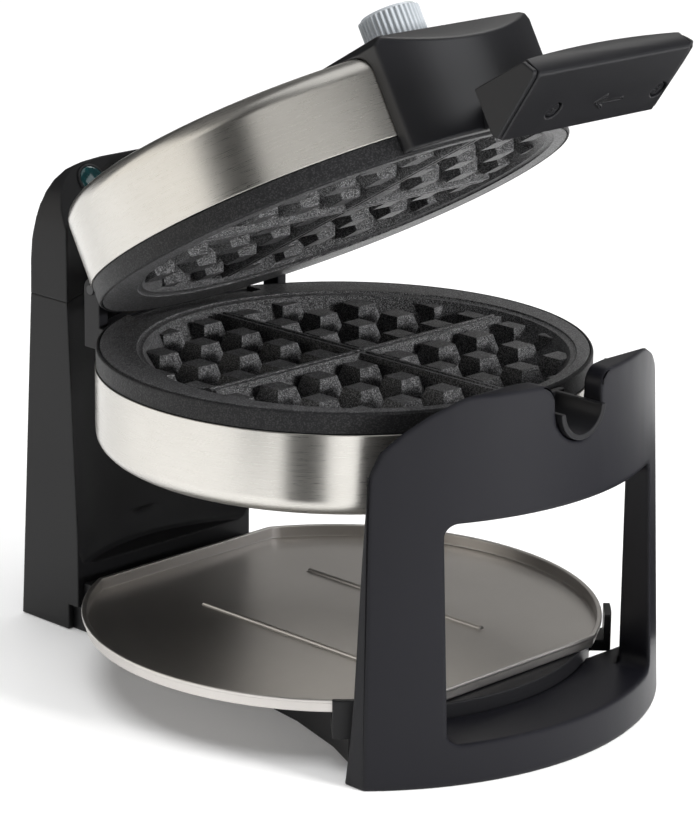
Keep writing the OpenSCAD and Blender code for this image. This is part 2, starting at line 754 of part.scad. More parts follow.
module tower_shell() {
    r_bush = bush_r + bush_t;
    difference() {
        union() {
            difference() {
                tower_block(0);
                tower_block(wall);
                translate([0, 0, axis_h])
                    along_y(bearing_y, tower_back_y - tower_lean - wall - 0.5, boss_r - wall);
            }
            difference() {
                bearing_boss();
                translate([0, 0, axis_h]) along_y(bearing_y + wall, tower_back_y, boss_r - wall);
            }
            // stops for the ring's tab, a quarter turn apart
            for (a = [-31, 117]) translate([0, 0, axis_h]) rotate([0, a, 0]) intersection() {
                translate([-3, ring_y0, stop_in + 0.4]) cube([6, ring_len, 5]);
                along_y(ring_y0 - 1, ring_y0 + ring_len + 1, boss_r - 0.5);
            }
        }
        translate([0, 0, axis_h]) along_y(bearing_y - 1, bearing_y + wall + 1, r_bush + 0.1);
        lamp_places() translate([0, 0, -5]) cylinder(h = 20, r = lamp_r + 1.02);
    }
}
module lower_part() {
    intersection() {
        children();
        difference() {
            translate([-100, 50, 0]) cube([200, 140, seam_z - 0.1]);
            translate([-100, 50, -1]) cube([200, tower_foot_y + 6.5 - 50, 13]);
        }
    }
}
module upper_part() {
    intersection() {
        children();
        translate([-100, 50, seam_z + 0.1]) cube([200, 140, 120]);
    }
}
module tower_housing() {
    color(black) difference() {
        union() {
            lower_part() tower_shell();
            for (sx = [-1, 1]) translate([sx*(tower_x - 9), tower_back_y - 14, 12.2]) {
                cylinder(h = 24, r = 4.4);
                translate([sx > 0 ? 2 : -2 - 5, -1, 0]) cube([5, 2, 24]);
            }
        }
        for (sx = [-1, 1]) translate([sx*(tower_x - 9), tower_back_y - 14, 0]) cylinder(h = 34, r = 1.7);
        at_inlet() translate([-14.9, -20, -10.9]) cube([29.8, 40, 21.8]);
    }
}
module tower_cap() {
    color(black) upper_part() tower_shell();
}
lamp_r = 6.4;
lamp_x = 28;
module lamp_places() {
    both_sides() lamp_place() children();
}
module lamp_place() {
    z = top_up(48.7);
    translate([-lamp_x, tower_foot_y + 5.5 + lamp_face_lean*(z - lamp_face_z), z])
        rotate([atan(1/lamp_face_lean), 0, 0]) children();
}
module lamp_bezels() {
    color(soft_black) intersection() {
        both_sides() lamp_place() translate([0, 0, -4.4]) difference() {
            cylinder(h = 5.2, r = lamp_r + 1);
            translate([0, 0, -1]) cylinder(h = 10, r = lamp_r + 0.02);
        }
        translate([-60, 100, 100]) cube([120, tower_back_y - tower_lean - 6.2 - 100, 200]);
    }
}
module lamp_lens() {
    translate([0, 0, -4]) rotate_extrude() polygon(concat([[0, 0], [lamp_r, 0]],
        [for (a = [0 : 15 : 90]) [lamp_r*cos(a), 4.4 + 1.4*sin(a)]]));
}
module ready_lamp() {
    color([0.0, 0.35, 0.35]) lamp_place() lamp_lens();
}
module power_lamp() {
    color([0.55, 0.05, 0.04]) mirror([1, 0, 0]) lamp_place() lamp_lens();
}
module bearing_bush() {
    color([0.75, 0.68, 0.5]) translate([0, 0, axis_h]) difference() {
        union() {
            along_y(bearing_y - 0.6, bearing_y + bush_len - 0.5, bush_r + bush_t);
            along_y(bearing_y + wall + 0.05, bearing_y + bush_len - 0.05, bush_r + bush_t + 2.4);
        }
        along_y(bearing_y - 2, bearing_y + bush_len + 1, bush_r);
    }
}
inlet_z = 34;
module at_inlet() {
    translate([0, tower_back_y - lean_slope*inlet_z + 0.2, inlet_z]) rotate([atan(lean_slope), 0, 0])
        children();
}
module cord_inlet() {
    color(soft_black) at_inlet() difference() {
        union() {
            translate([-14.6, -17, -10.6]) cube([29.2, 17.2, 21.2]);
            translate([-17, 0, -13]) cube([34, 2, 26]);
        }
        translate([-12, -13, -8]) cube([24, 20, 16]);
    }
    color("silver") at_inlet() for (x = [-6, 0, 6]) translate([x - 0.9, -14, -2]) cube([1.8, 9, 4]);
}
module terminal_block() {
    y0 = tower_back_y - 31;
    color("white") difference() {
        translate([-18, y0, 12.2]) cube([36, 11, 10]);
        for (x = [-12, 0, 12]) translate([x, y0 + 5.5, 15]) cylinder(h = 10, r = 2.4);
    }
    color("silver") for (x = [-12, 0, 12]) translate([x, y0 + 5.5, 14.9]) cylinder(h = 5, r = 2);
}
module lead_bundle() {
    y_low = tower_back_y - 11.5;
    y_high = trunnion_end + 1.9;
    color([0.6, 0.3, 0.2]) for (x = [-3, 0, 3]) {
        translate([x, y_low, inlet_z + 11.6])
            rotate([atan((y_low - y_high)/(axis_h - inlet_z - 11.6)), 0, 0])
            cylinder(h = axis_h - inlet_z - 11.6, r = 1.1);
        translate([0, 0, axis_h]) translate([x, 0, 0]) along_y(yoke_in_r + 4, y_high + 0.4, 1.1);
    }
    color([0.6, 0.3, 0.2]) for (x = [-12, 0, 12])
        translate([x, 0, 20]) along_y(tower_back_y - 19.9, tower_back_y - 17, 1.1);
}
module tower_screws() {
    color("silver") for (sx = [-1, 1]) translate([sx*(tower_x - 9), tower_back_y - 14, 0]) {
        translate([0, 0, 8.4]) cylinder(h = 22, r = 1.5);
        translate([0, 0, 6.4]) cylinder(h = 2, r = 3);
    }
}

// Base
bridge_in = 106.1;
module base_plan(inset) {
    w = base_x - inset;
        intersection() {
            polygon([[-w, tower_back_y - wall - 1.2 - inset], [w, tower_back_y - wall - 1.2 - inset],
                [w, 40], [w + 2.5, -1],
                [w + 7, -30], [w + 16, -60], [w + 23, -75], [w + 34, -90], [w + 37, -120], [-w - 37, -120],
                [-w - 34, -90], [-w - 23, -75], [-w - 16, -60], [-w - 7, -30], [-w - 2.5, -1], [-w, 40]]);
            union() {
                circle(bridge_in - inset, $fn = 180);
                translate([-w, 0]) square([2*w, 200]);
            }
        }
}
bridge_z = tray_floor_z - 0.4;
module base_frame() {
    color(black) difference() {
        union() {
            linear_extrude(11.8) intersection() {
                base_plan(0);
                translate([-100, 60]) square([200, 100]);
            }
            linear_extrude(bridge_z) intersection() {
                base_plan(0);
                translate([-100, -160]) square([200, 160 + tower_foot_y - 0.4]);
            }
            // lugs that keep the tray in its place
            for (a = [-47, 227]) rotate(a) intersection() {
                difference() {
                    cylinder(h = tray_z + 1, r = tray_r + 4);
                    translate([0, 0, -1]) cylinder(h = tray_z + 4, r = tray_r + 1);
                }
                translate([100, -8, bridge_z - 8]) cube([30, 16, tray_z]);
            }
            for (a = [-47, 227]) rotate(a) intersection() {
                cylinder(h = bridge_z - 4, r = tray_r + 4);
                translate([bridge_in - 8, -8, bridge_z - 9]) cube([20, 16, 5]);
            }
        }
        difference() {
            translate([0, 0, -1]) linear_extrude(bridge_z + 1 - wall) intersection() {
                base_plan(wall);
                translate([-100, -160]) square([200, 160 + tower_foot_y - 3]);
            }
            for (p = cover_screws) translate([p[0], p[1], 2.4]) cylinder(h = 30, r = 4);
            for (x = [-26, 0, 26]) translate([x - 1, -90, 6]) cube([2, 190, 30]);
        }
        translate([0, 0, -1]) linear_extrude(10.4) intersection() {
            base_plan(wall);
            translate([-100, tower_foot_y - 4]) square([200, 60]);
        }
        for (sx = [-1, 1]) translate([sx*(tower_x - 9), tower_back_y - 14, -1]) cylinder(h = 20, r = 1.8);
        for (p = cover_screws) translate([p[0], p[1], 0]) cylinder(h = 12, r = 1.5);
        translate([-12, tower_foot_y + 6, 5]) cube([24, 12, 20]);
    }
}
cover_screws = [[-38, 96], [38, 96], [-38, 30], [38, 30], [-54, -70], [54, -70]];
module base_cover() {
    color(soft_black) difference() {
        linear_extrude(2) base_plan(wall + 0.2);
        for (p = cover_screws) translate([p[0], p[1], -1]) {
            cylinder(h = 4, r = 1.7);
            cylinder(h = 2.1, r = 3.3);
        }
        for (p = foot_places) if (p[1] > -90) translate([p[0], p[1], -1]) cylinder(h = 4, r = foot_r + 0.1);
        for (x = [-20 : 10 : 20]) translate([x - 1.5, 50, -1]) cube([3, 26, 4]);
    }
}
module support_screws() {
    color("silver") for (p = cover_screws) translate([p[0], p[1], 0]) {
        translate([0, 0, 0.1]) cylinder(h = 0.9, r = 3.1);
        translate([0, 0, 0.9]) cylinder(h = 8, r = 1.4);
    }
    color("silver") for (p = sill_screws) translate([p[0], p[1], 0]) {
        translate([0, 0, 4.2]) cylinder(h = 2, r = 3.1);
        translate([0, 0, 6]) cylinder(h = 8, r = 1.4);
    }
}
sill_screws = [[-40, -108], [40, -108], [0, -116]];
foot_places = [[-29, 136], [29, 136], [-78, -100], [78, -100]];
module rubber_feet() {
    color([0.1, 0.1, 0.1]) for (p = foot_places) translate([p[0], p[1], 0]) difference() {
        cylinder(h = p[1] > 0 ? 9.2 : 4, r = foot_r);
        translate([0, 0, -1]) cylinder(h = 2, r = foot_r - 3);
    }
}

// Front support
module support_outline() {
    // seen from the front
    w = support_top_x;
    c = support_corner;
    zs = support_z - c;
    polygon(concat([[-support_x, 0]], [for (a = [180 : -10 : 90]) [-w + c + c*cos(a), zs + c*sin(a)]],
        [for (a = [90 : -10 : 0]) [w - c + c*cos(a), zs + c*sin(a)]], [[support_x, 0]]));
}
module support_side() {
    // where the support ends towards the back
    k = support_back_y - 93;
    extruded_x(400) polygon([[-160, 0], [-90.5 - k, 0], [-92.6 - k, 18], [-93.8 - k, 36], [-95.6 - k, 94],
        [-97.2 - k, 127], [-100.5 - k, 138], [-105.4 - k, 145], [-111 - k, 151.5],
        [-116 - k, support_z - 2], [-119 - k, support_z + 1], [-160, support_z + 1]]);
}
module window_outline() {
    translate([0, (window_z + sill_z)/2]) round_rect(2*window_x, window_z - sill_z, 5.5);
}
module front_support() {
    color(black) difference() {
        union() {
            intersection() {
                difference() {
                    translate([0, -support_dy, 0])
                        cylinder(h = support_z, r1 = support_r, r2 = support_top_r, $fn = 180);
                    translate([0, -support_dy, -1]) cylinder(h = support_z + 2, r = support_in_r, $fn = 180);
                }
                extruded_y(400) support_outline();
                support_side();
            }
            intersection() {
                translate([0, -support_dy, 0]) cylinder(h = sill_z, r = support_in_r + 5, $fn = 180);
                difference() {
                    translate([-support_x, -160, 0]) cube([2*support_x, 160 - 92.6, sill_z]);
                    translate([0, 0, -1]) cylinder(h = 60, r = bridge_in + 0.3, $fn = 180);
                }
            }
        }
        translate([0, -90, 0]) rotate([90, 0, 0]) linear_extrude(80) window_outline();
        // cradle for the boss and the neck
        translate([0, 0, axis_h]) along_y(-160, -90, cradle_r);
        translate([-cradle_r, -160, axis_h]) cube([2*cradle_r, 70, 60]);
        for (s = [-1, 1]) intersection() {
            translate([s*(cradle_r + 3.5) - 4.5, -160, support_z - 8]) cube([9, 70, 10]);
            difference() {
                translate([-cradle_r - 7, -160, support_z - 7]) cube([2*cradle_r + 14, 70, 20]);
                for (t = [-1, 1]) translate([t*(cradle_r + 7), 0, support_z - 7]) along_y(-170, -80, 7);
            }
        }
        // hollows open to the underside
        intersection() {
            difference() {
                translate([0, -support_dy, -1])
                    cylinder(h = 96, r1 = support_r - 3.2, r2 = support_r - 7, $fn = 120);
                translate([0, -support_dy, -2]) cylinder(h = 100, r = support_in_r + 3, $fn = 120);
            }
            both_sides() translate([window_x + 3, -118, -1]) cube([support_top_x - window_x - 7, 21, 93]);
        }
        difference() {
            intersection() {
                translate([0, -support_dy, -1]) cylinder(h = sill_z - 2.2, r = support_r - 3.4, $fn = 120);
                translate([-window_x, -160, -2]) cube([2*window_x, 80, 40]);
            }
            cylinder(h = 80, r = bridge_in + 3.4, center = true, $fn = 120);
            for (p = sill_screws) translate([p[0], p[1], 6.3]) cylinder(h = 20, r = 4);
        }
        for (p = sill_screws) translate([p[0], p[1], 0]) cylinder(h = 14.2, r = 1.5);
        for (p = foot_places) if (p[1] < -90) translate([p[0], p[1], -1])
            cylinder(h = 5.1, r = foot_r + 0.1);
    }
}

// Drip tray
module tray_plan(inset) {
    intersection() {
        circle(tray_r - inset, $fn = 180);
        square([2*tray_r, 2*(tray_flat - inset)], center = true);
    }
}
module drip_tray() {
    color(steel) translate([0, 0, tray_floor_z]) difference() {
        union() {
            linear_extrude(tray_d - 1) tray_plan(1.4);
            translate([0, 0, tray_d - 1.8]) linear_extrude(1.8) tray_plan(0);
            for (sx = [-1, 1]) translate([sx*tray_rib_x, 0, tray_t - 0.1]) {
                intersection() {
                    along_y(-tray_rib_l/2, tray_rib_l/2, 1.6);
                    translate([-3, -80, 0]) cube([6, 160, 3]);
                }
            }
        }
        difference() {
            translate([0, 0, tray_t]) linear_extrude(tray_d) tray_plan(1.4 + tray_t);
            for (sx = [-1, 1]) translate([sx*tray_rib_x, 0, tray_t - 0.1])
                along_y(-tray_rib_l/2, tray_rib_l/2, 1.6);
        }
    }
}

base_frame();
base_cover();
front_support();
support_screws();
rubber_feet();
tower_housing();
tower_cap();
lamp_bezels();
ready_lamp();
power_lamp();
tower_screws();
bearing_bush();
cord_inlet();
terminal_block();
lead_bundle();
stop_ring();
trunnion();
trunnion_washer();
trunnion_clip();
hinge_yoke();
yoke_screws();
hinge_pin();
lower_shell();
lower_rim();
lower_plate();
lower_element();
lower_reflector();
thermal_fuse();
front_boss();
lower_plate_screws();
upper_shell();
upper_rim();
upper_plate();
upper_element();
upper_reflector();
thermostat();
hinge_block();
upper_plate_screws();
handle_housing();
handle_neck();
handle_grip();
grip_end_caps();
grip_core();
grip_screws();
dial_knob();
dial_spindle();
drip_tray();
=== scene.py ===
import json
import math

import bmesh
import bpy
import numpy as np
from mathutils import Matrix, Vector


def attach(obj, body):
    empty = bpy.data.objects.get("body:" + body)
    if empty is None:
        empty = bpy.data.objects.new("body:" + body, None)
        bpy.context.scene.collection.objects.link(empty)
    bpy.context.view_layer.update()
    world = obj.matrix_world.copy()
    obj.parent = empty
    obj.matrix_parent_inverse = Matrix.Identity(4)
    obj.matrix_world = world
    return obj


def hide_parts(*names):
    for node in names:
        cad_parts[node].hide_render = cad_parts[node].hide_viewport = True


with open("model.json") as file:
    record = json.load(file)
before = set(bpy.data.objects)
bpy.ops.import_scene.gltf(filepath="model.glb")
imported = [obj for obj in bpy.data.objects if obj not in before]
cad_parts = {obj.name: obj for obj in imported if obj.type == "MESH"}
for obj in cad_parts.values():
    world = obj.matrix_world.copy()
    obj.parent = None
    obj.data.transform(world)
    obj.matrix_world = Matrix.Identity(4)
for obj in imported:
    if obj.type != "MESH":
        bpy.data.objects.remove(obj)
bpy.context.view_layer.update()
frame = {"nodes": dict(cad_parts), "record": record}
nodes = frame["nodes"]
bodies = frame["record"]["behaviour"]["bodies"]
bodyOf = {node: body for body, members in bodies.items() for node in members}
print("frame loaded:", len(nodes), "nodes")


def linked(name, data):
    obj = bpy.data.objects.new(name, data)
    bpy.context.scene.collection.objects.link(obj)
    return obj


# place and back are in the frame's metres, roll is in degrees, clips in metres
cameraSettings = {
    "place": (-0.991998, -0.979980, 0.529452),
    "back": (-0.68306, -0.67232, 0.28535),
    "roll": 0.67,
    "focalPixels": 3453.9,
    "longSidePixels": 831,
    "sensorWidth": 36,
    "clips": (0.05, 30),
}


def makeCamera():
    s = cameraSettings
    data = bpy.data.cameras.new("camera")
    data.sensor_width = s["sensorWidth"]
    data.lens = s["focalPixels"] * s["sensorWidth"] / s["longSidePixels"]
    data.clip_start, data.clip_end = s["clips"]
    back = Vector(s["back"]).normalized()
    right = Vector((0, 0, 1)).cross(back).normalized()
    up = back.cross(right)
    roll = math.radians(s["roll"])
    right = right * math.cos(roll) + up * math.sin(roll)
    up = back.cross(right)
    turn = Matrix((right, up, back)).transposed().to_4x4()
    camera = linked("camera", data)
    camera.matrix_world = Matrix.Translation(s["place"]) @ turn
    bpy.context.scene.camera = camera


makeCamera()
print("camera made")


def addNode(tree, kind, **values):
    node = tree.nodes.new(kind)
    for key, value in values.items():
        setattr(node, key, value)
    return node


def newGroup(name, inputs, outputs):
    group = bpy.data.node_groups.new(name, "ShaderNodeTree")
    for label, kind, value in inputs:
        socket = group.interface.new_socket(name=label, in_out="INPUT", socket_type=kind)
        if value is not None:
            socket.default_value = value
    for label, kind in outputs:
        group.interface.new_socket(name=label, in_out="OUTPUT", socket_type=kind)
    return group, addNode(group, "NodeGroupInput"), addNode(group, "NodeGroupOutput")


def feed(tree, value, socket):
    # a number or a colour is set on the socket, an output is linked to it
    if isinstance(value, (int, float)):
        socket.default_value = value
    elif isinstance(value, tuple):
        socket.default_value = (*value, 1)
    else:
        tree.links.new(value, socket)


def calc(tree, operation, a, b=None):
    node = addNode(tree, "ShaderNodeMath", operation=operation)
    feed(tree, a, node.inputs[0])
    if b is not None:
        feed(tree, b, node.inputs[1])
    return node.outputs[0]


def ramp(tree, value, low, high, outLow=0.0, outHigh=1.0):
    node = addNode(tree, "ShaderNodeMapRange", clamp=True)
    labels = ("Value", "From Min", "From Max", "To Min", "To Max")
    for label, v in zip(labels, (value, low, high, outLow, outHigh)):
        feed(tree, v, node.inputs[label])
    return node.outputs[0]


def mixColour(tree, factor, a, b):
    # the colour mix has its factor at input 0, its colours at 6 and 7 and its result at output 2
    node = addNode(tree, "ShaderNodeMix", data_type="RGBA")
    for i, v in ((0, factor), (6, a), (7, b)):
        feed(tree, v, node.inputs[i])
    return node.outputs[2]


def noise(tree, vector, scale, detail=3.0, rough=0.5):
    node = addNode(tree, "ShaderNodeTexNoise")
    tree.links.new(vector, node.inputs["Vector"])
    for label, v in (("Scale", scale), ("Detail", detail), ("Roughness", rough)):
        feed(tree, v, node.inputs[label])
    return node.outputs["Fac"]


# lengths in metres; an edge is painted lighter, part wear and part painted highlight, where its
# rounded normal leaves the face's by this cosine
edgeWearAndHighlightSettings = {
    "radius": 0.0006,
    "samples": 4,
    "wornAndHighlitCosines": (0.995, 0.86),
    "breakupScale": 300.0,
    "breakupSpan": (0.38, 0.62),
}


# a mask for edges painted lighter, part wear and part painted highlight, and the rounded normal
# that softens their shading
def makeEdgeWearAndHighlight():
    s = edgeWearAndHighlightSettings
    group, given, result = newGroup(
        "edgeWearAndHighlight",
        [
            ("Radius", "NodeSocketFloat", s["radius"]),
            ("Breakup", "NodeSocketFloat", s["breakupScale"]),
        ],
        [("Mask", "NodeSocketFloat"), ("Normal", "NodeSocketVector")],
    )
    link = group.links.new
    rounded = addNode(group, "ShaderNodeBevel", samples=s["samples"])
    link(given.outputs["Radius"], rounded.inputs["Radius"])
    face = addNode(group, "ShaderNodeNewGeometry")
    cosine = addNode(group, "ShaderNodeVectorMath", operation="DOT_PRODUCT")
    link(rounded.outputs[0], cosine.inputs[0])
    link(face.outputs["Normal"], cosine.inputs[1])
    edge = ramp(group, cosine.outputs["Value"], *s["wornAndHighlitCosines"])
    place = addNode(group, "ShaderNodeTexCoord").outputs["Object"]
    broken = ramp(group, noise(group, place, given.outputs["Breakup"]), *s["breakupSpan"])
    link(calc(group, "MULTIPLY", edge, broken), result.inputs["Mask"])
    link(rounded.outputs[0], result.inputs["Normal"])
    return group


# scales are in cells per metre, here and in the next two
mouldGrainSettings = {
    "grainScale": 2600.0,
    "grainDetail": 2.0,
    "cloudScale": 14.0,
    "cloudDetail": 3.0,
}


def makeMouldGrain():
    s = mouldGrainSettings
    group, given, result = newGroup(
        "mouldGrain",
        [
            ("Grain Scale", "NodeSocketFloat", s["grainScale"]),
            ("Cloud Scale", "NodeSocketFloat", s["cloudScale"]),
        ],
        [("Height", "NodeSocketFloat"), ("Cloud", "NodeSocketFloat")],
    )
    place = addNode(group, "ShaderNodeTexCoord").outputs["Object"]
    grain = noise(group, place, given.outputs["Grain Scale"], s["grainDetail"])
    cloud = noise(group, place, given.outputs["Cloud Scale"], s["cloudDetail"])
    group.links.new(grain, result.inputs["Height"])
    group.links.new(cloud, result.inputs["Cloud"])
    return group


speckleSettings = {
    "scale": 1500.0,
    "fleckSpan": (0.55, 0.95),
    "grainDetail": 2.0,
    "cellHeight": 0.5,
}


def makeSpeckle():
    s = speckleSettings
    group, given, result = newGroup(
        "speckle",
        [("Scale", "NodeSocketFloat", s["scale"])],
        [("Mask", "NodeSocketFloat"), ("Height", "NodeSocketFloat")],
    )
    link = group.links.new
    place = addNode(group, "ShaderNodeTexCoord").outputs["Object"]
    cells = addNode(group, "ShaderNodeTexVoronoi")
    link(place, cells.inputs["Vector"])
    link(given.outputs["Scale"], cells.inputs["Scale"])
    parts = addNode(group, "ShaderNodeSeparateColor")
    link(cells.outputs["Color"], parts.inputs[0])
    link(ramp(group, parts.outputs[0], *s["fleckSpan"]), result.inputs["Mask"])
    grain = noise(group, place, given.outputs["Scale"], s["grainDetail"])
    step = calc(group, "MULTIPLY", parts.outputs[1], s["cellHeight"])
    link(calc(group, "ADD", grain, step), result.inputs["Height"])
    return group


# a streak is longer than it is wide by 1 / streakShare
brushedSettings = {
    "density": 2600.0,
    "metresPerRadian": 0.1,
    "streakShare": 0.018,
    "streakDetail": 3.0,
    "streakRough": 0.6,
    "cloudScale": 38.0,
    "cloudDetail": 4.0,
    "cloudRough": 0.55,
}


def makeBrushed():
    # lines that run round the Z axis (Round 1) or along X (Round 0)
    s = brushedSettings
    group, given, result = newGroup(
        "brushedLines",
        [
            ("Vector", "NodeSocketVector", None),
            ("Round", "NodeSocketFloat", 1.0),
            ("Density", "NodeSocketFloat", s["density"]),
        ],
        [("Streak", "NodeSocketFloat"), ("Cloud", "NodeSocketFloat")],
    )
    vector, turned, density = (given.outputs[k] for k in ("Vector", "Round", "Density"))
    straight = calc(group, "SUBTRACT", 1.0, turned)

    def times(a, b):
        return calc(group, "MULTIPLY", a, b)

    def either(whenRound, whenStraight):
        return calc(group, "ADD", times(whenRound, turned), times(whenStraight, straight))

    apart = addNode(group, "ShaderNodeSeparateXYZ")
    group.links.new(vector, apart.inputs[0])
    x, y, z = apart.outputs
    run = times(calc(group, "ARCTAN2", y, x), s["metresPerRadian"])
    radius = calc(group, "SQRT", calc(group, "ADD", times(x, x), times(y, y)))
    along, across = either(run, x), either(radius, y)
    stretched = addNode(group, "ShaderNodeCombineXYZ")
    group.links.new(times(along, times(density, s["streakShare"])), stretched.inputs[0])
    group.links.new(times(across, density), stretched.inputs[1])
    group.links.new(times(z, density), stretched.inputs[2])
    streak = noise(group, stretched.outputs[0], 1.0, s["streakDetail"], s["streakRough"])
    cloud = noise(group, vector, s["cloudScale"], s["cloudDetail"], s["cloudRough"])
    group.links.new(streak, result.inputs["Streak"])
    group.links.new(cloud, result.inputs["Cloud"])
    return group


edgeWearAndHighlight, mouldGrain = makeEdgeWearAndHighlight(), makeMouldGrain()
speckle, brushedLines = makeSpeckle(), makeBrushed()
print("shared effects made")


def startFinish(name, **constants):
    material = bpy.data.materials.new(name)
    material.use_nodes = True
    tree = material.node_tree
    shader = tree.nodes["Principled BSDF"]
    for label, value in constants.items():
        shader.inputs[label].default_value = value
    return material, tree, shader


def useGroup(tree, group, values):
    node = addNode(tree, "ShaderNodeGroup", node_tree=group)
    for label, value in values.items():
        node.inputs[label].default_value = value
    return node


# mixes the lighter edge colour in along the edges: part wear, part painted highlight
def paintWornAndHighlitEdges(tree, shader, body, s):
    wearAndHighlight = useGroup(tree, edgeWearAndHighlight, {"Radius": s["edgeRadius"]})
    amount = calc(tree, "MULTIPLY", wearAndHighlight.outputs["Mask"], s["wearAndHighlight"])
    tree.links.new(mixColour(tree, amount, body, s["edge"]), shader.inputs["Base Color"])
    return wearAndHighlight.outputs["Normal"]


def bumpInto(tree, shader, height, s, normal=None):
    bump = addNode(tree, "ShaderNodeBump")
    bump.inputs["Strength"].default_value = s["bumpStrength"]
    bump.inputs["Distance"].default_value = s["bump"]
    tree.links.new(height, bump.inputs["Height"])
    if normal is not None:
        tree.links.new(normal, bump.inputs["Normal"])
    tree.links.new(bump.outputs[0], shader.inputs["Normal"])


# what a finish of each kind has unless its own settings say otherwise; lengths in metres
mouldedDefaults = {"edgeRadius": 0.0006, "wearAndHighlight": 0.5, "specular": 0.5, "bumpStrength": 0.6}
metalDefaults = {
    "edgeRadius": 0.0005,
    "wearAndHighlight": 0.35,
    "round": 1.0,
    "streakShare": 0.6,
    "cloudShare": 0.4,
    "colourSpan": (0.2, 0.8),
    "anisotropic": 0.0,
    "acrossLines": 0.25,
    "bumpStrength": 0.5,
}
coatedDefaults = {"edgeRadius": 0.0005, "wearAndHighlight": 0.4, "bumpStrength": 0.9}
lensDefaults = {
    "grainScale": 900.0,
    "cloudScale": 260.0,
    "roughness": 0.12,
    "coat": 0.6,
    "bump": 0.0002,
    "bumpStrength": 0.3,
}
roughSpan = (0.3, 0.7)  # the part of a noise's range that roughness is spread over


def mouldedFinish(name, own):
    s = {**mouldedDefaults, **own}
    material, tree, shader = startFinish(name, **{"Specular IOR Level": s["specular"]})
    grain = useGroup(tree, mouldGrain, {"Grain Scale": s["grainScale"]})
    cloud = grain.outputs["Cloud"]
    normal = paintWornAndHighlitEdges(tree, shader, mixColour(tree, cloud, s["dark"], s["light"]), s)
    tree.links.new(ramp(tree, cloud, *roughSpan, *s["roughness"]), shader.inputs["Roughness"])
    bumpInto(tree, shader, grain.outputs["Height"], s, normal)
    return material


def metalFinish(name, own):
    s = {**metalDefaults, **own}
    constants = {
        "Metallic": 1.0,
        "Anisotropic": s["anisotropic"],
        "Anisotropic Rotation": s["acrossLines"],
    }
    material, tree, shader = startFinish(name, **constants)
    vector = addNode(tree, "ShaderNodeTexCoord").outputs["Object"]
    if "centre" in s:  # brings the tilted lid level, so that the lines run round its own axis
        level = addNode(tree, "ShaderNodeMapping", vector_type="TEXTURE")
        level.inputs["Location"].default_value = s["centre"]
        level.inputs["Rotation"].default_value = (math.radians(s["tilt"]), 0, 0)
        tree.links.new(vector, level.inputs["Vector"])
        vector = level.outputs[0]
    lines = useGroup(tree, brushedLines, {"Round": s["round"], "Density": s["density"]})
    tree.links.new(vector, lines.inputs["Vector"])
    streak = lines.outputs["Streak"]
    both = calc(
        tree,
        "ADD",
        calc(tree, "MULTIPLY", streak, s["streakShare"]),
        calc(tree, "MULTIPLY", lines.outputs["Cloud"], s["cloudShare"]),
    )
    body = mixColour(tree, ramp(tree, both, *s["colourSpan"]), s["dark"], s["light"])
    normal = paintWornAndHighlitEdges(tree, shader, body, s)
    tree.links.new(ramp(tree, streak, *roughSpan, *s["roughness"]), shader.inputs["Roughness"])
    if s["anisotropic"]:
        tangent = addNode(tree, "ShaderNodeTangent", direction_type="RADIAL", axis="Z")
        tree.links.new(tangent.outputs[0], shader.inputs["Tangent"])
    bumpInto(tree, shader, streak, s, normal)
    return material


def coatedFinish(name, own):
    s = {**coatedDefaults, **own}
    material, tree, shader = startFinish(name, **{"Specular IOR Level": s["specular"]})
    spots = useGroup(tree, speckle, {"Scale": s["scale"]})
    mask = spots.outputs["Mask"]
    normal = paintWornAndHighlitEdges(tree, shader, mixColour(tree, mask, s["dark"], s["fleck"]), s)
    tree.links.new(ramp(tree, mask, 0, 1, *s["roughness"]), shader.inputs["Roughness"])
    bumpInto(tree, shader, spots.outputs["Height"], s, normal)
    return material


def lensFinish(name, own):
    s = {**lensDefaults, **own}
    constants = {"Roughness": s["roughness"], "Coat Weight": s["coat"]}
    material, tree, shader = startFinish(name, **constants)
    scales = {"Grain Scale": s["grainScale"], "Cloud Scale": s["cloudScale"]}
    cloud = useGroup(tree, mouldGrain, scales).outputs["Cloud"]
    tree.links.new(mixColour(tree, cloud, s["dark"], s["light"]), shader.inputs["Base Color"])
    bumpInto(tree, shader, cloud, s)
    return material
